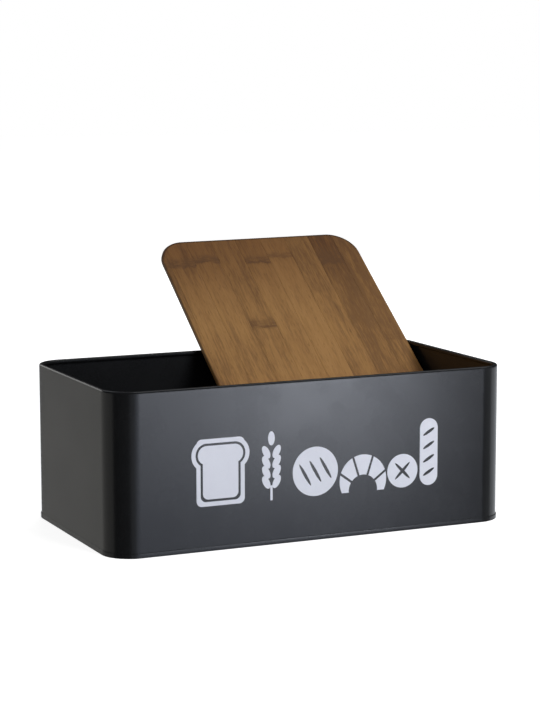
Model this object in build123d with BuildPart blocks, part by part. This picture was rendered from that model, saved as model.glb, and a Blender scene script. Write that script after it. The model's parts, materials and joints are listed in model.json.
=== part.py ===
from build123d import *
import math
import os

# Bread bin: a bent steel tub with a rolled rim and a crimped-on base, and a loose laminated
# bamboo lid. The lid is off and leans in the tub, on the base, the front wall and the rear rim.
# Millimetres. Origin: centre of the flat underside. +X along the tub, +Y to the back, +Z up.

# Tub
tub_length = 340.0
tub_width = 186.0
tub_height = 127.0
corner_radius = 23.0  # upright corners, outside
sheet = 0.6  # steel sheet, wall and base alike
rim_bead = 3.6  # diameter of the inward roll along the top edge
rim_curl_end = 115.0  # how far past the inner side the roll turns, degrees
base_lip_height = 3.8
base_lip_round = 0.35  # rounding along the foot of the base lip
crimp_gap = 0.05  # between the wall and the lip folded up round it
seam_width = 7.0  # flattened upright seam inside the back wall
seam_layers = 2  # extra layers of sheet in that seam
seam_line = 0.5  # width of the groove that the seam leaves outside
seam_line_depth = 0.25

# Lid
lid_overhang = 2.0  # beyond the tub's wall, all round
lid_corner_radius = 25.0
lid_flange = 4.6  # upper ply
lid_step = 5.4  # under ply, which drops inside the rim
lid_play = 0.9  # between the rim and the under ply
lid_edge_round = 1.4
lid_foot_round = 0.8
upper_strips = 9
upper_first = 5.0  # the board is cut from a wider panel, so its edge strips are part strips
upper_last = 19.5
under_strips = 8
rest_gap = 0.3  # between the lid and what it leans on
rest_side_gap = 0.6  # between the lid's right edge and the right rim

# Print on the front wall: a row of plain bread shapes
print_thickness = 0.15
print_foot = 35.0  # height of the row's base line
print_gap = 1.9  # width of the lines left unprinted inside a shape
slice_at, slice_width, slice_height = -82.0, 48.0, 52.0
slice_waist, slice_brow = 40.0, 25.0  # width under the brow, and the brow's height
slice_crust, slice_foot_radius, slice_brow_round = 3.4, 4.5, 0.49
ear_at, ear_height, ear_foot, ear_pairs = -39.5, 54.0, 11.6, 4
grain_length, grain_width, grain_tilt, grain_aside = 11.0, 5.6, 28.0, 4.4
loaf_at, loaf_radius, loaf_cuts, loaf_cut_step = -2.0, 19.5, 3, 8.8
loaf_cut_length, cut_width, cut_tilt = 20.0, 2.6, 30.0
crescent_at, crescent_radius, crescent_rise, crescent_cuts = 39.5, 20.5, 9.0, 4
crescent_hollow, crescent_hollow_rise = 12.5, 1.0
bun_at, bun_radius, bun_cut_length = 74.5, 13.5, 18.5
stick_at, stick_length, stick_width, stick_cuts, stick_cut_length = 98.0, 54.0, 16.0, 4, 11.5

os.makedirs("parts", exist_ok=True)


def finish(piece, name):
    """Labels a finished piece and writes it as the node of that name."""
    piece.part.label = name
    export_step(piece.part, f"parts/{name}.step")


# ---------------------------------------------------------------- tub
half_length = tub_length / 2
half_width = tub_width / 2
bead_radius = rim_bead / 2
bead_height = tub_height - bead_radius
curl_inside = bead_radius - sheet

with BuildPart() as wall:
    # Outline of the tub, walked from the middle of the front.
    with BuildLine(Plane.XY) as wall_path:
        run = Line((0, -half_width), (half_length - corner_radius, -half_width))
        long_run = tub_length - 2 * corner_radius
        short_run = tub_width - 2 * corner_radius
        for straight in (short_run, long_run, short_run, long_run / 2):
            bend = JernArc(run @ 1, run % 1, radius=corner_radius, arc_size=90)
            run = Line(bend @ 1, bend @ 1 + (bend % 1) * straight)
    # Section of the wall, seen along +X from the middle of the front: up the sheet, over the
    # roll and back round to just short of the wall.
    section_plane = Plane(origin=(0, -half_width, 0), x_dir=(0, 1, 0), z_dir=(1, 0, 0))
    with BuildSketch(section_plane) as wall_section:
        with BuildLine():
            roll_centre = (bead_radius, bead_height)
            Line((0, sheet), (0, bead_height))
            outer_roll = CenterArc(roll_centre, bead_radius, 180, -(180 + rim_curl_end))
            inner_roll = CenterArc(roll_centre, curl_inside, -rim_curl_end, 180 + rim_curl_end)
            Line(outer_roll @ 1, inner_roll @ 0)
            Line((sheet, bead_height), (sheet, sheet))
            Line((sheet, sheet), (0, sheet))
        make_face()
    sweep(sections=wall_section.sketch, path=wall_path.wires()[0])
    # Upright seam in the middle of the back: flattened layers inside, a fine groove outside.
    seam_top = tub_height - rim_bead - sheet
    with BuildSketch(Plane.XY.offset(sheet)):
        with Locations((0, half_width - sheet)):
            Rectangle(seam_width, seam_layers * sheet, align=(Align.CENTER, Align.MAX))
    extrude(amount=seam_top - sheet)
    with BuildSketch(Plane.XY.offset(base_lip_height)):
        with Locations((-seam_width / 2, half_width)):
            Rectangle(seam_line, seam_line_depth, align=(Align.CENTER, Align.MAX))
    extrude(amount=seam_top - base_lip_height, mode=Mode.SUBTRACT)
finish(wall, "wall")

lip_inside = crimp_gap
lip_outside = crimp_gap + sheet
with BuildPart() as base_tray:
    with BuildSketch(Plane.XY):
        RectangleRounded(
            tub_length + 2 * lip_outside, tub_width + 2 * lip_outside, corner_radius + lip_outside
        )
    extrude(amount=base_lip_height)
    with BuildSketch(Plane.XY.offset(sheet)):
        RectangleRounded(
            tub_length + 2 * lip_inside, tub_width + 2 * lip_inside, corner_radius + lip_inside
        )
    extrude(amount=base_lip_height - sheet, mode=Mode.SUBTRACT)
    foot_edges = base_tray.edges().group_by(Axis.Z)[0]
    fillet(foot_edges, base_lip_round)
    fillet(base_tray.faces().sort_by(Axis.Z)[-1].outer_wire().edges(), base_lip_round)
finish(base_tray, "base_tray")

# ---------------------------------------------------------------- lid at rest
lid_length = tub_length + 2 * lid_overhang
lid_width = tub_width + 2 * lid_overhang
lid_thickness = lid_flange + lid_step
step_inset = lid_overhang + rim_bead + lid_play

# Across the tub, the lid is pushed to the right until its edge meets the rim there.
lid_right = half_length - rim_bead - rest_side_gap
lid_left = lid_right - lid_width
under_left = lid_left + step_inset
under_right = lid_right - step_inset


def rear_bead(x):
    """Centre of the rear rim bead at x, on its straight run or where it turns the corner."""
    past = max(0.0, abs(x) - (half_length - corner_radius))
    reach = math.sqrt((corner_radius - bead_radius) ** 2 - past**2)
    return Vector(x, half_width - corner_radius + reach, bead_height)


# The under ply rests on the rear bead at its left and right edges, or the upper ply does at the
# right if it meets the turning bead first. The lower edge stands on the base, where the lid's
# end meets the front wall. A few rounds settle the tilt.
lid_normal = Vector(0, -1, 1).normalized()
for _ in range(40):
    up_lid = Vector(0, lid_normal.Z, -lid_normal.Y).normalized()
    across_lid = up_lid.cross(lid_normal)
    lift = lid_normal * (bead_radius + rest_gap)
    seat_left = rear_bead(under_left) + lift
    seats_right = [rear_bead(under_right) + lift, rear_bead(lid_right) + lift - lid_normal * lid_step]
    end_to_foot = up_lid * step_inset - lid_normal * lid_thickness
    foot_y = -half_width + sheet + rest_gap + end_to_foot.Y - across_lid.Y * lid_width
    foot = Vector(under_left, foot_y, sheet + rest_gap)
    seat_right = max(seats_right, key=lambda seat: (seat - foot).dot(lid_normal))
    lid_normal = (seat_right - foot).cross(seat_left - foot).normalized()

lid_corner = foot - end_to_foot - across_lid * step_inset  # lower left corner of the top face
lid_origin = lid_corner + across_lid * (lid_width / 2) + up_lid * (lid_length / 2)
lid_plane = Plane(origin=lid_origin, x_dir=across_lid, z_dir=lid_normal)


def board(top, thickness, length, width, radius, top_round, foot_round, left, right):
    """One strip of a ply: the whole ply with its edges rounded, kept between left and right."""
    with BuildPart() as ply:
        with BuildSketch(lid_plane.offset(top - thickness)):
            RectangleRounded(width, length, radius)
        extrude(amount=thickness)
        along = Axis(lid_plane.origin, lid_plane.z_dir)
        if top_round:
            fillet(ply.edges().group_by(along)[-1], top_round)
        fillet(ply.edges().group_by(along)[0], foot_round)
        with BuildSketch(lid_plane.offset(top - thickness)):
            with Locations(((left + right) / 2, 0)):
                Rectangle(right - left, length)
        extrude(amount=thickness, mode=Mode.INTERSECT)
    return ply


upper_middle = (lid_width - upper_first - upper_last) / (upper_strips - 2)
upper_joints = [upper_first + i * upper_middle for i in range(upper_strips - 1)]
upper_borders = [0.0, *upper_joints, lid_width]
for i in range(upper_strips):
    strip = board(
        0.0, lid_flange, lid_length, lid_width, lid_corner_radius, lid_edge_round, lid_foot_round,
        upper_borders[i] - lid_width / 2, upper_borders[i + 1] - lid_width / 2,
    )
    finish(strip, f"lid_upper_strip_{i + 1}")

under_length = lid_length - 2 * step_inset
under_width = lid_width - 2 * step_inset
under_pitch = under_width / under_strips
for i in range(under_strips):
    left = i * under_pitch - under_width / 2
    strip = board(
        -lid_flange, lid_step, under_length, under_width, lid_corner_radius - step_inset,
        0.0, lid_foot_round, left, left + under_pitch,
    )
    finish(strip, f"lid_under_strip_{i + 1}")

# ---------------------------------------------------------------- print
def slice_shape(inset, mode):
    """A slice of tin loaf, drawn smaller by the inset all round."""
    waist = slice_waist - 2 * inset
    brow = slice_brow - 2 * inset
    with Locations((slice_at, inset)):
        RectangleRounded(
            waist, slice_height - 2 * inset, slice_foot_radius, align=(Align.CENTER, Align.MIN), mode=mode
        )
    with Locations((slice_at, slice_height - inset)):
        RectangleRounded(
            slice_width - 2 * inset, brow, brow * slice_brow_round, align=(Align.CENTER, Align.MAX), mode=mode
        )


with BuildPart() as front_print:
    with BuildSketch(Plane(origin=(0, -half_width, print_foot), x_dir=(1, 0, 0), z_dir=(0, -1, 0))):
        # Slice of tin loaf: crust, an unprinted line, crumb.
        slice_shape(0, Mode.ADD)
        slice_shape(slice_crust, Mode.SUBTRACT)
        slice_shape(slice_crust + print_gap, Mode.ADD)
        # Ear of wheat: a stalk, pairs of grains and one at the tip.
        grain_step = (ear_height - ear_foot - grain_length) / ear_pairs
        with Locations((ear_at, 0)):
            Rectangle(print_gap, ear_foot, align=(Align.CENTER, Align.MIN))
        for i in range(ear_pairs):
            rise = ear_foot + i * grain_step + grain_length / 4
            for side in (-1, 1):
                with Locations((ear_at + side * grain_aside, rise)):
                    Ellipse(grain_width / 2, grain_length / 2, rotation=-side * grain_tilt)
        with Locations((ear_at, ear_height - grain_length / 2)):
            Ellipse(grain_width / 2, grain_length / 2)
        # Crescent roll: a thick arch with thin tips, parted by cuts that fan out.
        with Locations((crescent_at, crescent_rise)):
            Circle(crescent_radius)
        with Locations((crescent_at, 0)):
            Rectangle(
                2 * crescent_radius, crescent_radius, align=(Align.CENTER, Align.MAX), mode=Mode.SUBTRACT
            )
        with Locations((crescent_at, crescent_hollow_rise)):
            Circle(crescent_hollow, mode=Mode.SUBTRACT)
        for i in range(crescent_cuts):
            turn = 180 / (crescent_cuts + 1) * (i + 1)
            with Locations(Location((crescent_at, crescent_hollow_rise), turn)):
                Rectangle(
                    2 * crescent_radius, print_gap, align=(Align.MIN, Align.CENTER), mode=Mode.SUBTRACT
                )
        # Round loaf with slanted cuts.
        with Locations((loaf_at, loaf_radius)):
            Circle(loaf_radius)
        for i in range(loaf_cuts):
            aside = (i - (loaf_cuts - 1) / 2) * loaf_cut_step
            with Locations((loaf_at + aside, loaf_radius + aside / 4)):
                Ellipse(cut_width / 2, loaf_cut_length / 2, rotation=cut_tilt, mode=Mode.SUBTRACT)
        # Bun with a cross cut in its top.
        with Locations((bun_at, bun_radius)):
            Circle(bun_radius)
            for turn in (45, -45):
                Ellipse(bun_cut_length / 2, cut_width / 2, rotation=turn, mode=Mode.SUBTRACT)
        # Long stick loaf, upright, with slanted cuts.
        with Locations((stick_at, stick_length / 2)):
            SlotOverall(stick_length, stick_width, rotation=90)
        stick_step = stick_length / (stick_cuts + 1)
        for i in range(stick_cuts):
            with Locations((stick_at, (i + 1) * stick_step)):
                Ellipse(stick_cut_length / 2, cut_width / 2, rotation=cut_tilt, mode=Mode.SUBTRACT)
    extrude(amount=print_thickness)
finish(front_print, "front_print")

print("lean", math.degrees(math.atan2(up_lid.Z, up_lid.Y)))
print("roll", math.degrees(math.asin(across_lid.Z)))
print("lid slides along", up_lid)
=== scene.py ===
import json
import math
import random
import bpy
from mathutils import Matrix, Vector


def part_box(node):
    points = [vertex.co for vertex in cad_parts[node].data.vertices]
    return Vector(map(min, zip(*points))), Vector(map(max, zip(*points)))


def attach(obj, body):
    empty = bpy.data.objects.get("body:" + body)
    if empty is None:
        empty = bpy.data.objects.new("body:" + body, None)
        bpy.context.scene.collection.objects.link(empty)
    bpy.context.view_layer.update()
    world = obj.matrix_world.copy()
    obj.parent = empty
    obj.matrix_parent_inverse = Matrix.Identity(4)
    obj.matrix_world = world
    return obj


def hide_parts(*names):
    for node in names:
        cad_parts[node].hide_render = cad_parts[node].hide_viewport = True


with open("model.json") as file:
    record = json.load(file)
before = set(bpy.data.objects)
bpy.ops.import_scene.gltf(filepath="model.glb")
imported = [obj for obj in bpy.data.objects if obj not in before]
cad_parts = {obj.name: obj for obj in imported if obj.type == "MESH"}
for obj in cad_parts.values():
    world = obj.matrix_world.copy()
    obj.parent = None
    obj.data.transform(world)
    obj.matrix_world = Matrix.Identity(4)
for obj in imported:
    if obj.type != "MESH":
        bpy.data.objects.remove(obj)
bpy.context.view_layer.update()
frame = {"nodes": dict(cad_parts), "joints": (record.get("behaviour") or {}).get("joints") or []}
noiseSpan = (0.3, 0.7)  # Blender's noise mostly stays between these
print("frame loaded:", len(frame["nodes"]), "parts")


# adds a node, and sets its inputs by name or its own settings
def addNode(tree, kind, **settings):
    made = tree.nodes.new(kind)
    for name, value in settings.items():
        if name in made.inputs:
            made.inputs[name].default_value = value
        else:
            setattr(made, name, value)
    return made


# puts a number, a colour or another node's output into a socket
def feed(tree, value, socket):
    if isinstance(value, (int, float)):
        socket.default_value = value
    elif isinstance(value, tuple):
        socket.default_value = (*value, 1.0)
    else:
        tree.links.new(value, socket)


def maths(tree, operation, *values, clamp=False):
    made = tree.nodes.new("ShaderNodeMath")
    made.operation = operation
    made.use_clamp = clamp
    for value, socket in zip(values, made.inputs):
        feed(tree, value, socket)
    return made.outputs[0]


# each value times its weight, all added up
def weighted(tree, *pairs):
    total = maths(tree, "MULTIPLY", *pairs[0])
    for value, weight in pairs[1:]:
        total = maths(tree, "ADD", total, maths(tree, "MULTIPLY", value, weight))
    return total


# a smooth step from one pair of numbers to another
def spread(tree, value, fromLow, fromHigh, toLow, toHigh):
    made = tree.nodes.new("ShaderNodeMapRange")
    made.interpolation_type = "SMOOTHSTEP"
    feed(tree, value, made.inputs["Value"])
    made.inputs["From Min"].default_value = fromLow
    made.inputs["From Max"].default_value = fromHigh
    made.inputs["To Min"].default_value = toLow
    made.inputs["To Max"].default_value = toHigh
    return made.outputs["Result"]


# up from 0 to 1 between the first two numbers, and back to 0 between the last two
def hump(tree, value, rise, full, fall, gone):
    up = spread(tree, value, rise, full, 0.0, 1.0)
    return maths(tree, "MULTIPLY", up, spread(tree, value, fall, gone, 1.0, 0.0))


def blendColours(tree, amount, first, second, way="MIX"):
    made = tree.nodes.new("ShaderNodeMix")
    made.data_type = "RGBA"
    made.blend_type = way
    for value, socket in ((amount, made.inputs[0]), (first, made.inputs[6]), (second, made.inputs[7])):
        feed(tree, value, socket)
    return made.outputs[2]


def tinted(tree, amount, colour, tint):
    return blendColours(tree, amount, colour, blendColours(tree, 1.0, colour, tint, "MULTIPLY"))


# noise with its own pitch along each direction, in cells to the metre
def grainNoise(tree, place, pitch, detail=3.0, roughness=0.55, offset=(0.0, 0.0, 0.0)):
    scaled = addNode(tree, "ShaderNodeMapping", Scale=pitch, Location=offset)
    tree.links.new(place, scaled.inputs["Vector"])
    made = addNode(tree, "ShaderNodeTexNoise", Scale=1.0, Detail=detail, Roughness=roughness)
    tree.links.new(scaled.outputs["Vector"], made.inputs["Vector"])
    return made.outputs["Fac"]


def relief(tree, height, strength, distance, below=None):
    made = addNode(tree, "ShaderNodeBump", Strength=strength, Distance=distance)
    tree.links.new(height, made.inputs["Height"])
    if below is not None:
        tree.links.new(below, made.inputs["Normal"])
    return made.outputs["Normal"]


def split(tree, vector):
    made = tree.nodes.new("ShaderNodeSeparateXYZ")
    tree.links.new(vector, made.inputs[0])
    return made.outputs


def startMaterial(name):
    made = bpy.data.materials.new(name)
    made.use_nodes = True
    return made, made.node_tree, made.node_tree.nodes["Principled BSDF"]


def buildMesh(name, points, faces, sharpAngle=35.0):
    mesh = bpy.data.meshes.new(name)
    mesh.from_pydata(points, [], faces)
    mesh.update()
    mesh.shade_smooth()
    mesh.set_sharp_from_angle(angle=math.radians(sharpAngle))
    made = bpy.data.objects.new(name, mesh)
    bpy.context.scene.collection.objects.link(made)
    return made


cameraSetup = {
    "target": (0.00196, 0.0, 0.12928),
    "turnLeft": 24.554,  # degrees round from straight in front
    "above": 8.354,
    "tilt": -0.1,
    "distance": 1.7425,
    "lens": 107.37,
    "clipEnd": 60.0,
}


def setCamera(setup):
    turn = math.radians(setup["turnLeft"])
    rise = math.radians(setup["above"])
    back = Vector((-math.sin(turn) * math.cos(rise), -math.cos(turn) * math.cos(rise), math.sin(rise)))
    data = bpy.data.cameras.new("camera")
    data.lens = setup["lens"]
    data.clip_end = setup["clipEnd"]
    camera = bpy.data.objects.new("camera", data)
    camera.location = Vector(setup["target"]) + back * setup["distance"]
    facing = (-back).to_track_quat("-Z", "Y").to_matrix()
    camera.rotation_euler = (facing @ Matrix.Rotation(math.radians(setup["tilt"]), 3, "Z")).to_euler()
    bpy.context.scene.collection.objects.link(camera)
    bpy.context.scene.camera = camera


setCamera(cameraSetup)
print("camera set")

wallLow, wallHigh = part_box("wall")
trayLow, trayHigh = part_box("base_tray")
sheet = wallLow[2] - trayLow[2]  # both pressings are the same steel

tubShape = {
    "corner": 0.023,
    "cornerSteps": 20,
    "bead": 0.0036,  # the roll of the rim, across
    "curlEnd": 115,  # how far the roll goes on below its inner side, in degrees
    "rollSteps": 30,
    "lipRound": 0.00035,
    "lipSteps": 6,
    "footBorder": 0.002,  # keeps the flat underside flat in its shading
    "seamHalf": 0.0035,
    "seamDepth": 0.0012,
    "seamRamp": 0.0005,
    "grooveHalf": 0.00025,
    "grooveDepth": 0.00025,
    "grooveRamp": 0.00015,
}


# stations round a rounded rectangle: a point and the direction out from it
def outline(low, high, radius, cornerSteps, backStops=()):
    stations = []
    corners = ((high[0], low[1], -90), (high[0], high[1], 0), (low[0], high[1], 90), (low[0], low[1], 180))
    for number, (x, y, start) in enumerate(corners):
        centre = Vector((x - math.copysign(radius, x), y - math.copysign(radius, y)))
        for i in range(cornerSteps + 1):
            angle = math.radians(start + 90 * i / cornerSteps)
            outward = Vector((math.cos(angle), math.sin(angle)))
            stations.append((centre + outward * radius, outward))
        if number == 1:  # the back, from right to left
            stations += [(Vector((stop, high[1])), Vector((0, 1))) for stop in backStops]
    return stations


# quads between loops of the same length, upwards outside and down again inside
def skinLoops(name, loops, joined):
    count = len(loops[0])
    faces = []
    for row in range(len(loops) if joined else len(loops) - 1):
        here = row * count
        above = (row + 1) % len(loops) * count
        for i in range(count):
            j = (i + 1) % count
            faces.append((here + i, here + j, above + j, above + i))
    if not joined:
        last = (len(loops) - 1) * count
        faces.append(tuple(reversed(range(count))))
        faces.append(tuple(range(last, last + count)))
    return buildMesh(name, [point for loop in loops for point in loop], faces)


# 1 inside a band, down to 0 beyond its edges
def plateau(distance, half, fade):
    return min(1.0, max(0.0, (half + fade - abs(distance)) / fade))


def wallSection(shape):
    bead = shape["bead"] / 2
    seamTop = wallHigh[2] - shape["bead"] - sheet
    rollHeight = wallHigh[2] - bead
    fade = shape["seamRamp"]
    lip = trayHigh[2]
    outside = (wallLow[2], lip, lip + fade, seamTop - fade, seamTop)
    section = [(0.0, height, "outside") for height in outside]
    sweep = 180 + shape["curlEnd"]
    steps = shape["rollSteps"]
    for radius, start, turn in ((bead, 180, -sweep), (bead - sheet, -shape["curlEnd"], sweep)):
        for i in range(steps + 1):
            angle = math.radians(start + turn * i / steps)
            height = rollHeight + radius * math.sin(angle)
            section.append((bead + radius * math.cos(angle), height, "roll"))
    section += [(sheet, height, "inside") for height in (seamTop, seamTop - fade, wallLow[2])]
    return section, seamTop


def makeWall(shape):
    half, fade = shape["seamHalf"], shape["seamRamp"]
    groove, slope = shape["grooveHalf"], shape["grooveRamp"]
    stops = [half + fade, half, 0.0, -half + groove + slope, -half + groove, -half,
             -half - groove, -half - groove - slope, -half - fade]
    stations = outline(wallLow, wallHigh, shape["corner"], shape["cornerSteps"], stops)
    section, seamTop = wallSection(shape)
    loops = []
    for inset, height, side in section:
        loop = []
        for place, outward in stations:
            depth = inset
            atBack = outward.y > 0.999
            if atBack and side == "inside" and height < seamTop:
                depth += shape["seamDepth"] * plateau(place.x, half, fade)
            if atBack and side == "outside" and trayHigh[2] < height < seamTop:
                depth += shape["grooveDepth"] * plateau(place.x + half, groove, slope)
            loop.append((*(place - outward * depth), height))
        loops.append(loop)
    wall = skinLoops("wall_sheet", loops, joined=True)
    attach(wall, "tub")
    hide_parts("wall")
    return wall


def makeTray(shape):
    corner = shape["corner"] + wallLow[0] - trayLow[0]
    stations = outline(trayLow, trayHigh, corner, shape["cornerSteps"])
    edge = shape["lipRound"]
    quarter = [math.pi / 2 * i / shape["lipSteps"] for i in range(shape["lipSteps"] + 1)]
    section = [(shape["footBorder"], 0.0)]
    section += [(edge * (1 - math.sin(a)), edge * (1 - math.cos(a))) for a in quarter]
    section += [(edge * (1 - math.cos(a)), trayHigh[2] - edge * (1 - math.sin(a))) for a in quarter]
    section += [(sheet, trayHigh[2]), (sheet, wallLow[2])]
    loops = []
    for inset, height in section:
        loops.append([(*(place - outward * inset), height) for place, outward in stations])
    tray = skinLoops("base_panel", loops, joined=False)
    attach(tray, "tub")
    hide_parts("base_tray")
    return tray


wallPiece = makeWall(tubShape)
trayPiece = makeTray(tubShape)
print("tub built")

lidShape = {
    "corner": 0.025,
    "edgeRound": 0.0014,  # upper ply, along the top
    "footRound": 0.0008,  # both plies, along the bottom
    "glueGroove": 0.00009,  # the fine chamfer at each glue line
    "roundSteps": 6,
    "cornerSteps": 24,
    "leastColumn": 0.0002,
    "underPlyInset": 0.0065,
    "plyShift": 3.0,  # sets the under ply's grain apart from the upper ply's
    "stripShift": 0.37,
    "seed": 5,
    "underKnuckle": (0.02, 0.14),  # the under strips' looks are drawn between these
    "underStrength": (0.5, 1.0),
    "underWidth": (0.8, 1.3),
    "underTone": (-0.3, 0.3),
}
# for each upper strip, left to right: its knuckle's place down from the raised end, how strongly
# it shows, how wide it is beside the usual, and the strip's tone, dark to light: partly its own tone,
# partly painted shade darkening the right-hand strips
upperStripLooks = (
    (0.0335, 0.8, 1.0, -0.30),
    (0.0335, 1.1, 1.1, 0.05),
    (0.0290, 1.1, 1.0, 0.15),
    (0.1145, 0.8, 1.1, 0.0),
    (0.0335, 1.0, 1.0, 0.15),
    (0.0285, 0.8, 0.7, 0.20),
    (0.0750, 0.2, 1.2, -0.35),
    (0.0395, 1.1, 2.0, -0.80),
    (0.1400, 0.4, 1.0, -0.80),
)


# the lid's own directions, from the joint and the middle strip's broad face
def lidDirections():
    along = Vector(frame["joints"][0]["axis"]).normalized()
    mesh = frame["nodes"]["lid_upper_strip_5"].data
    broad = max(mesh.polygons, key=lambda face: face.area if face.normal.z > 0 else 0)
    across = along.cross(broad.normal).normalized()
    return Matrix((across, along, across.cross(along))).transposed()


lidAxes = lidDirections()


# a node's lowest and highest corner, along the lid's own directions
def boxInLid(node):
    turned = lidAxes.transposed()
    places = [turned @ vertex.co for vertex in frame["nodes"][node].data.vertices]
    return [min(p[i] for p in places) for i in range(3)], [max(p[i] for p in places) for i in range(3)]


# the rings of a rounded edge: how far in from the outline, and how deep below the top
def edgeRings(thick, top, foot, steps):
    quarter = [math.pi / 2 * i / steps for i in range(steps + 1)]
    rings = [(top * (1 - math.sin(a)), top * (1 - math.cos(a))) for a in quarter] if top else [(0.0, 0.0)]
    return rings + [(foot * (1 - math.cos(a)), thick - foot * (1 - math.sin(a))) for a in quarter]


# where the columns of points stand across a strip, closer together where the outline turns
def columnShares(start, end, straight, radius, shape):
    steps = shape["cornerSteps"]
    least = shape["leastColumn"]
    found = [start]
    turns = [straight + radius * math.sin(math.pi / 2 * i / steps) for i in range(steps + 1)]
    for x in sorted([-turn for turn in turns] + turns):
        if found[-1] + least < x < end - least:
            found.append(x)
    found.append(end)
    return [(x - start) / (end - start) for x in found]


def makeStrip(node, loops, look, shift, farEnd):
    count = len(loops[0])
    columns = count // 2
    last = (len(loops) - 1) * count
    faces = []
    for row in range(0, last, count):
        for i in range(count):
            j = (i + 1) % count
            faces.append((row + i, row + j, row + count + j, row + count + i))
    for i in range(columns - 1):  # the top and bottom faces, rung by rung
        faces.append((i + 1, i, count - 1 - i, count - 2 - i))
        faces.append((last + i, last + i + 1, last + count - 2 - i, last + count - 1 - i))
    local = [point for loop in loops for point in loop]
    top = loops[0][0][2]
    strip = buildMesh(node + "_bamboo", [lidAxes @ Vector(point) for point in local], faces)
    knuckle, strength, width, tone = look
    attributes = strip.data.attributes
    grain = attributes.new("grainPlace", "FLOAT_VECTOR", "POINT")
    board = attributes.new("boardPlace", "FLOAT_VECTOR", "POINT")
    looks = attributes.new("stripLook", "FLOAT_VECTOR", "POINT")
    for i, (x, y, z) in enumerate(local):
        grain.data[i].vector = (x + shift, farEnd - y - knuckle, z + shift)
        board.data[i].vector = (x, farEnd - y, z - top)
        looks.data[i].vector = (tone, strength, width)
    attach(strip, "lid")
    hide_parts(node)
    return strip


# the strips of one ply, each a closed piece with its own grain; only the upper ply's top is rounded
def makePly(prefix, looks, radius, topRound, shape):
    count = len(looks)
    boxes = [boxInLid(f"{prefix}_{i + 1}") for i in range(count)]
    low = min(box[0][1] for box in boxes)
    high = max(box[1][1] for box in boxes)
    foot = boxes[count // 2][0][2]
    top = boxes[count // 2][1][2]
    middle = Vector(((boxes[0][0][0] + boxes[-1][1][0]) / 2, (low + high) / 2))
    straight = (boxes[-1][1][0] - boxes[0][0][0]) / 2 - radius
    thick = top - foot
    rings = edgeRings(thick, topRound, shape["footRound"], shape["roundSteps"])
    strips = []
    for number, (boxLow, boxHigh) in enumerate(boxes):
        start, end = boxLow[0] - middle.x, boxHigh[0] - middle.x
        shares = columnShares(start, end, straight, radius, shape)
        loops = []
        for inset, depth in rings:
            near = min(depth if topRound else thick, thick - depth)
            groove = max(0.0, shape["glueGroove"] - near)
            first = start + (inset if number == 0 else groove)
            last = end - (inset if number == count - 1 else groove)
            edge = []
            for share in shares:
                x = first + (last - first) * share
                past = max(0.0, abs(x) - straight)
                reach = (high - low) / 2 - radius + math.sqrt(max(0.0, (radius - inset) ** 2 - past**2))
                edge.append((x, reach))
            around = edge + [(x, -reach) for x, reach in reversed(edge)]
            loops.append([(x + middle.x, y + middle.y, top - depth) for x, y in around])
        shift = shape["stripShift"] * (number + 1) + (0.0 if topRound else shape["plyShift"])
        strips.append(makeStrip(f"{prefix}_{number + 1}", loops, looks[number], shift, high))
    return strips


draw = random.Random(lidShape["seed"])
underCount = sum(node.startswith("lid_under_strip_") for node in frame["nodes"])
underStripLooks = []
for _ in range(underCount):
    knuckle = draw.uniform(*lidShape["underKnuckle"])
    strength = draw.uniform(*lidShape["underStrength"])
    width = draw.uniform(*lidShape["underWidth"])
    tone = draw.uniform(*lidShape["underTone"])
    underStripLooks.append((knuckle, strength, width, tone))
underCorner = lidShape["corner"] - lidShape["underPlyInset"]
upperStrips = makePly("lid_upper_strip", upperStripLooks, lidShape["corner"],
                      lidShape["edgeRound"], lidShape)
underStrips = makePly("lid_under_strip", underStripLooks, underCorner, 0.0, lidShape)
print("lid built:", len(upperStrips), "upper strips and", len(underStrips), "under strips")

coatLook = {
    "darkest": (0.0075, 0.0079, 0.0090),
    "lightest": (0.0105, 0.0110, 0.0122),
    "roughness": (0.22, 0.27),
    "specular": 0.35,
    "cloud": {"pitch": (22.0, 22.0, 22.0), "detail": 4.0},  # pitches are in cells to the metre
    "speck": {"pitch": (2600.0, 2600.0, 2600.0), "detail": 2.0},
    "peel": {"pitch": (750.0, 750.0, 750.0), "detail": 3.0},  # the orange peel of the powder
    "peelRelief": (0.6, 0.000012),  # its strength and its depth
    "wave": {"pitch": (9.0, 9.0, 5.4), "detail": 1.0},  # the sheet's own slow waviness
    "waveRelief": (0.35, 0.00030),
}


def makeCoat(look):
    material, tree, shader = startMaterial("satin_powder_coat")
    place = addNode(tree, "ShaderNodeTexCoord").outputs["Object"]
    cloud = grainNoise(tree, place, **look["cloud"])
    speck = grainNoise(tree, place, **look["speck"])
    peel = grainNoise(tree, place, **look["peel"])
    wave = grainNoise(tree, place, **look["wave"])
    shade = spread(tree, weighted(tree, (cloud, 0.6), (speck, 0.4)), *noiseSpan, 0.0, 1.0)
    colour = blendColours(tree, shade, look["darkest"], look["lightest"])
    tree.links.new(colour, shader.inputs["Base Color"])
    mixed = weighted(tree, (cloud, 0.7), (peel, 0.3))
    tree.links.new(spread(tree, mixed, *noiseSpan, *look["roughness"]), shader.inputs["Roughness"])
    shader.inputs["Specular IOR Level"].default_value = look["specular"]
    slow = relief(tree, wave, *look["waveRelief"])
    tree.links.new(relief(tree, peel, *look["peelRelief"], slow), shader.inputs["Normal"])
    return material


inkLook = {
    "cover": (0.70, 0.725, 0.83),
    "thin": (0.60, 0.625, 0.73),
    "roughness": (0.48, 0.62),
    "cloud": {"pitch": (35.0, 35.0, 35.0), "detail": 4.0},
    "speck": {"pitch": (1400.0, 1400.0, 1400.0), "detail": 3.0},
    "worn": (0.35, 0.80, 0.0, 0.3),  # between which noise it thins, and from how little to how much
    "pinholes": (0.55, 0.80, 0.0, 0.5),
    "filmRelief": (0.4, 0.00002),
}


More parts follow.
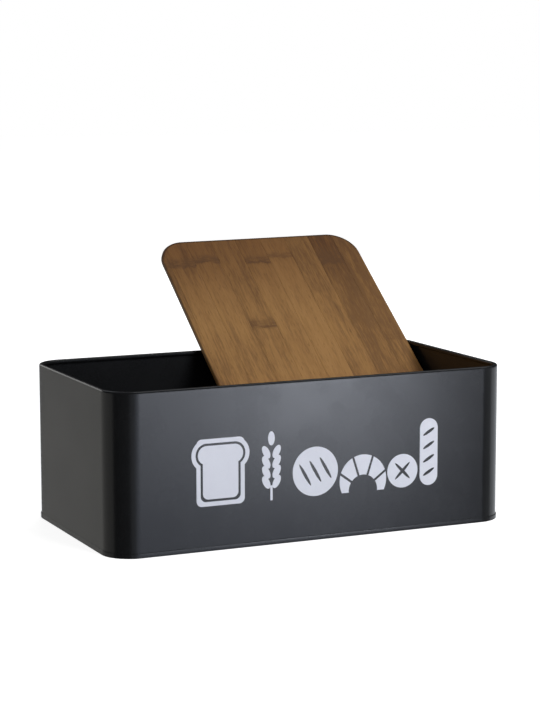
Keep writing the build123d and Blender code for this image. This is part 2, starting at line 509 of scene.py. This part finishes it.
def makeInk(look):
    material, tree, shader = startMaterial("screen_print_ink")
    place = addNode(tree, "ShaderNodeTexCoord").outputs["Object"]
    cloud = grainNoise(tree, place, **look["cloud"])
    speck = grainNoise(tree, place, **look["speck"])
    worn = spread(tree, cloud, *look["worn"])
    thin = maths(tree, "ADD", worn, spread(tree, speck, *look["pinholes"]), clamp=True)
    tree.links.new(blendColours(tree, thin, look["cover"], look["thin"]), shader.inputs["Base Color"])
    tree.links.new(spread(tree, speck, *noiseSpan, *look["roughness"]), shader.inputs["Roughness"])
    tree.links.new(relief(tree, speck, *look["filmRelief"]), shader.inputs["Normal"])
    return material


bambooLook = {
    "pale": (0.343, 0.181, 0.0600),
    "middle": (0.284, 0.145, 0.0448),
    "dark": (0.164, 0.079, 0.0257),
    "fleck": (0.120, 0.055, 0.020),
    "knuckle": (0.103, 0.047, 0.017),
    "endRedAndShadeTint": (0.56, 0.475, 0.42),  # redder and darker towards the raised end: partly the cane's colour, partly painted shade of the light falling off up the lid
    "raisedEnd": (-0.01, 0.12),  # how far down it fades out
    "edgeShadeTint": (0.40, 0.35, 0.31),  # painted shade of the rounded edge, darkening a border round the raised end
    "border": (0.0017, 0.0029),  # in from the outline: full, then faded out
    "borderEnd": (0.015, 0.027),  # and the same down the sides
    "knuckleGap": 0.255,  # from one knuckle to the next along the cane
    "knuckleZone": (-0.0125, -0.0050, -0.0020, 0.0025),
    "knuckleRim": (-0.0032, -0.0008, -0.0004, 0.0010),
    "knuckleWaver": 0.010,
    "toneReach": 0.5,  # how far a strip's tone, partly painted shade on the upper ply, moves its grain
    "cloudReach": (-0.14, 0.14),
    "flecksShown": (0.62, 0.78, 0.0, 0.5),
    "streaksShown": (0.36, 0.60, 0.45, 1.1),
    "hair": {"pitch": (1500.0, 110.0, 1500.0), "detail": 2.0, "roughness": 0.6},  # short fine fibres
    "fibre": {"pitch": (560.0, 30.0, 560.0), "detail": 4.0, "roughness": 0.6},
    "band": {"pitch": (120.0, 8.0, 120.0), "detail": 3.0, "roughness": 0.5},  # the cane's broad bands
    "cloud": {"pitch": (16.0, 9.0, 16.0), "detail": 2.0, "roughness": 0.5, "offset": (4.0, 1.0, 0.0)},
    "vessel": {"pitch": (1000.0, 110.0, 1000.0), "detail": 1.0, "roughness": 0.4,
               "offset": (3.0, 2.0, 1.0)},
    "waver": {"pitch": (170.0, 14.0, 170.0), "detail": 3.0, "roughness": 0.6, "offset": (7.0, 0.0, 0.0)},
    "smear": {"pitch": (150.0, 420.0, 150.0), "detail": 3.0, "roughness": 0.6,
              "offset": (1.0, 5.0, 0.0)},
    "roughness": (0.46, 0.62),
    "specular": 0.25,
    "grainRelief": (0.5, 0.00005),
}


# how far in from the lid's rounded outline, at its raised end and down its sides
def insetFromOutline(tree, boardSide, boardRun, middle, straight, corner):
    fromMiddle = maths(tree, "ABSOLUTE", maths(tree, "SUBTRACT", boardSide, middle))
    sideways = maths(tree, "MAXIMUM", maths(tree, "SUBTRACT", fromMiddle, straight), 0.0)
    upwards = maths(tree, "MAXIMUM", maths(tree, "SUBTRACT", corner, boardRun), 0.0)
    squares = weighted(tree, (sideways, sideways), (upwards, upwards))
    return maths(tree, "SUBTRACT", corner, maths(tree, "SQRT", squares))


# where the cane's knuckles show, and how strongly
def knuckleAmount(tree, place, run, strength, width, look):
    waver = grainNoise(tree, place, **look["waver"])
    smear = grainNoise(tree, place, **look["smear"])
    offset = maths(tree, "MULTIPLY", maths(tree, "SUBTRACT", waver, 0.5), look["knuckleWaver"])
    half = look["knuckleGap"] / 2
    nearest = maths(tree, "WRAP", maths(tree, "ADD", run, offset), half, -half)
    scaled = maths(tree, "DIVIDE", nearest, width)
    zone = hump(tree, scaled, *look["knuckleZone"])
    rim = hump(tree, scaled, *look["knuckleRim"])
    streaks = spread(tree, smear, *look["streaksShown"])
    both = maths(tree, "MULTIPLY", weighted(tree, (zone, 0.66), (rim, 0.32)), strength)
    return maths(tree, "MULTIPLY", both, streaks, clamp=True)


def makeBamboo(name, look, middle, straight, corner):
    material, tree, shader = startMaterial(name)
    place = addNode(tree, "ShaderNodeAttribute", attribute_name="grainPlace").outputs["Vector"]
    board = addNode(tree, "ShaderNodeAttribute", attribute_name="boardPlace").outputs["Vector"]
    strip = addNode(tree, "ShaderNodeAttribute", attribute_name="stripLook").outputs["Vector"]
    run = split(tree, place)[1]
    boardSide, boardRun = split(tree, board)[:2]
    tone, strength, width = split(tree, strip)

    # the cane's grain, lighter or darker by the strip's tone, which on the upper ply is partly painted
    # shade
    hair = grainNoise(tree, place, **look["hair"])
    fibre = grainNoise(tree, place, **look["fibre"])
    band = grainNoise(tree, place, **look["band"])
    cloud = grainNoise(tree, board, **look["cloud"])
    mixed = weighted(tree, (hair, 0.34), (fibre, 0.36), (band, 0.30))
    grain = spread(tree, mixed, *noiseSpan, 0.0, 1.0)
    grain = maths(tree, "ADD", grain, maths(tree, "MULTIPLY", tone, look["toneReach"]))
    grain = maths(tree, "ADD", grain, spread(tree, cloud, *noiseSpan, *look["cloudReach"]), clamp=True)
    ramp = addNode(tree, "ShaderNodeValToRGB")
    ramp.color_ramp.elements[0].color = (*look["dark"], 1.0)
    ramp.color_ramp.elements[1].color = (*look["pale"], 1.0)
    ramp.color_ramp.elements.new(0.5).color = (*look["middle"], 1.0)
    tree.links.new(grain, ramp.inputs["Fac"])
    colour = ramp.outputs["Color"]

    # short dark flecks, the cut ends of the vessels
    flecks = spread(tree, grainNoise(tree, place, **look["vessel"]), *look["flecksShown"])
    colour = blendColours(tree, flecks, colour, look["fleck"])

    # the raised end, redder and with painted shade, then the knuckles, then the painted edge shade over
    # both
    # painted shade and redness at the raised end; each strip takes it by its knuckle strength
    share = maths(tree, "ADD", maths(tree, "MULTIPLY", strength, 0.6), 0.4)
    down = spread(tree, boardRun, *look["raisedEnd"], 1.0, 0.0)
    raised = maths(tree, "MULTIPLY", down, share, clamp=True)
    colour = tinted(tree, raised, colour, look["endRedAndShadeTint"])
    knuckle = knuckleAmount(tree, place, run, strength, width, look)
    colour = blendColours(tree, knuckle, colour, look["knuckle"])
    inset = insetFromOutline(tree, boardSide, boardRun, middle, straight, corner)
    # painted shade along the rounded edge: a darker border round the raised end and down its sides
    border = maths(tree, "MULTIPLY", spread(tree, inset, *look["border"], 1.0, 0.0),
                   spread(tree, boardRun, *look["borderEnd"], 1.0, 0.0))
    colour = tinted(tree, border, colour, look["edgeShadeTint"])
    tree.links.new(colour, shader.inputs["Base Color"])

    tree.links.new(spread(tree, fibre, *noiseSpan, *look["roughness"]), shader.inputs["Roughness"])
    shader.inputs["Specular IOR Level"].default_value = look["specular"]
    height = weighted(tree, (hair, 0.5), (fibre, 0.5), (flecks, -0.6), (knuckle, 0.4))
    tree.links.new(relief(tree, height, *look["grainRelief"]), shader.inputs["Normal"])
    return material


coat = makeCoat(coatLook)
wallPiece.data.materials.append(coat)
trayPiece.data.materials.append(coat)
printNode = frame["nodes"]["front_print"]
if not printNode.material_slots:
    printNode.data.materials.append(None)
for slot in printNode.material_slots:
    slot.link = "OBJECT"
    slot.material = makeInk(inkLook)
lidLeft = boxInLid("lid_upper_strip_1")[0][0]
lidRight = boxInLid("lid_upper_strip_9")[1][0]
lidMiddle = (lidLeft + lidRight) / 2
lidStraight = (lidRight - lidLeft) / 2 - lidShape["corner"]
upperBamboo = makeBamboo("oiled_bamboo_upper", bambooLook, lidMiddle, lidStraight, lidShape["corner"])
underBamboo = makeBamboo("oiled_bamboo_under", bambooLook, lidMiddle, lidStraight, lidShape["corner"])
for piece in upperStrips:
    piece.data.materials.append(upperBamboo)
for piece in underStrips:
    piece.data.materials.append(underBamboo)
print("finishes made")

studio = {
    "floorSize": 14.0,
    "floorColour": (0.50, 0.50, 0.50),
    "floorDarker": 0.985,  # its slightly darker clouds, as a share of that
    "floorCloud": {"pitch": (3.0, 3.0, 3.0), "detail": 3.0},
    "floorRoughness": 0.9,
    "floorSpecular": 0.1,
    "floorLift": 0.86,  # keeps the floor as pale as the backdrop
    "worldSeen": 1.0,  # what the camera sees behind everything
    "worldFill": 0.30,  # the soft light from all round
    "worldMirrored": 0.04,  # the dark studio, as the paint mirrors it
}
# name, place, point it faces, width and height, brightness and colour, and whether it is there
# to be mirrored in the paint or to light the wood and the print
lamps = (
    ("front_panel", (0.325, -1.15, -0.1), (0.325, 0.0, -0.1), (0.85, 0.9), 1.32,
     (0.76, 0.83, 1.0), "mirrored"),
    ("front_glow", (0.52, -1.1, 0.0), (0.52, 0.0, 0.0), (0.31, 0.28), 7.2,
     (0.86, 0.9, 1.0), "mirrored"),
    ("front_haze", (0.35, -1.12, 0.0), (0.35, 0.0, 0.0), (0.44, 0.28), 3.1,
     (0.86, 0.9, 1.0), "mirrored"),
    ("right_dim", (1.4, -0.7, -0.1), (0.15, 0.0, -0.1), (1.0, 0.9), 0.3,
     (0.9, 0.95, 1.0), "mirrored"),
    ("front_dim", (-0.3, -1.15, -0.1), (-0.3, 0.0, -0.1), (0.4, 0.9), 0.4,
     (0.85, 0.9, 1.0), "mirrored"),
    ("side_panel", (-1.15, 0.7, -0.15), (-0.17, 0.0, -0.15), (2.2, 0.8), 0.46,
     (1.0, 0.99, 0.94), "mirrored"),
    ("rim_panel", (-0.8, 2.2, 0.75), (-0.1, 0.0, 0.12), (1.4, 0.7), 1.5,
     (1.0, 1.0, 0.98), "mirrored"),
    ("over_panel", (0.7, -0.17, 1.6), (0.0, 0.0, 0.12), (1.2, 1.4), 1.4,
     (0.95, 0.97, 1.0), "mirrored"),
    ("right_panel", (1.7, 0.5, -0.5), (0.0, 0.0, -0.5), (2.2, 1.0), 1.1,
     (0.9, 0.94, 1.0), "mirrored"),
    ("back_panel", (0.65, 1.7, -0.5), (0.65, 0.0, -0.5), (1.9, 1.0), 1.3,
     (0.9, 0.94, 1.0), "mirrored"),
    ("low_panel", (0.0, 0.0, -1.6), (0.0, 0.0, 0.0), (2.6, 2.6), 1.0,
     (0.9, 0.94, 1.0), "mirrored"),
    ("ceiling_panel", (-0.3, 1.4, 1.6), (0.0, 0.0, 0.0), (1.6, 1.2), 0.5,
     (0.9, 0.94, 1.0), "mirrored"),
    ("back_light", (0.7, 1.7, 0.9), (0.0, 0.0, 0.1), (0.8, 0.8), 6.0,
     (1.0, 1.0, 0.98), "lighting"),
    ("key_light", (0.45, -1.2, 0.9), (0.0, 0.0, 0.1), (0.7, 0.7), 10.6,
     (1.0, 1.0, 0.98), "lighting"),
)


def makeFloor(setup):
    half = setup["floorSize"] / 2
    corners = [(-half, -half, 0.0), (half, -half, 0.0), (half, half, 0.0), (-half, half, 0.0)]
    floor = buildMesh("studio_floor", corners, [(0, 1, 2, 3)])
    material, tree, shader = startMaterial("pale_floor")
    place = addNode(tree, "ShaderNodeTexCoord").outputs["Object"]
    cloud = grainNoise(tree, place, **setup["floorCloud"])
    light = setup["floorColour"]
    darker = tuple(part * setup["floorDarker"] for part in light)
    tree.links.new(blendColours(tree, cloud, light, darker), shader.inputs["Base Color"])
    shader.inputs["Roughness"].default_value = setup["floorRoughness"]
    shader.inputs["Specular IOR Level"].default_value = setup["floorSpecular"]
    shader.inputs["Emission Color"].default_value = (1.0, 1.0, 1.0, 1.0)
    seen = addNode(tree, "ShaderNodeLightPath").outputs["Is Camera Ray"]
    tree.links.new(maths(tree, "MULTIPLY", seen, setup["floorLift"]), shader.inputs["Emission Strength"])
    floor.data.materials.append(material)
    floor.visible_glossy = False


def makeWorld(setup):
    world = bpy.data.worlds.new("studio")
    bpy.context.scene.world = world
    world.use_nodes = True
    tree = world.node_tree
    path = addNode(tree, "ShaderNodeLightPath")
    fill = setup["worldFill"]
    seen = maths(tree, "MULTIPLY", path.outputs["Is Camera Ray"], setup["worldSeen"] - fill)
    mirrored = maths(tree, "MULTIPLY", path.outputs["Is Glossy Ray"], setup["worldMirrored"] - fill)
    strength = maths(tree, "ADD", maths(tree, "ADD", fill, seen), mirrored)
    tree.links.new(strength, tree.nodes["Background"].inputs["Strength"])
    tree.nodes["Background"].inputs["Color"].default_value = (1.0, 1.0, 1.0, 1.0)


def makeLamps(rows):
    for name, place, facing, (width, height), brightness, colour, use in rows:
        data = bpy.data.lights.new(name, "AREA")
        data.shape = "RECTANGLE"
        data.size = width
        data.size_y = height
        data.energy = brightness * math.pi * width * height
        data.color = colour
        lamp = bpy.data.objects.new(name, data)
        lamp.location = place
        lamp.rotation_euler = (Vector(facing) - Vector(place)).to_track_quat("-Z", "Y").to_euler()
        lamp.visible_camera = False
        lamp.visible_glossy = use == "mirrored"
        lamp.visible_diffuse = use == "lighting"
        bpy.context.scene.collection.objects.link(lamp)


makeFloor(studio)
makeWorld(studio)
makeLamps(lamps)
bpy.context.scene.view_settings.view_transform = "Standard"
print("studio lit")
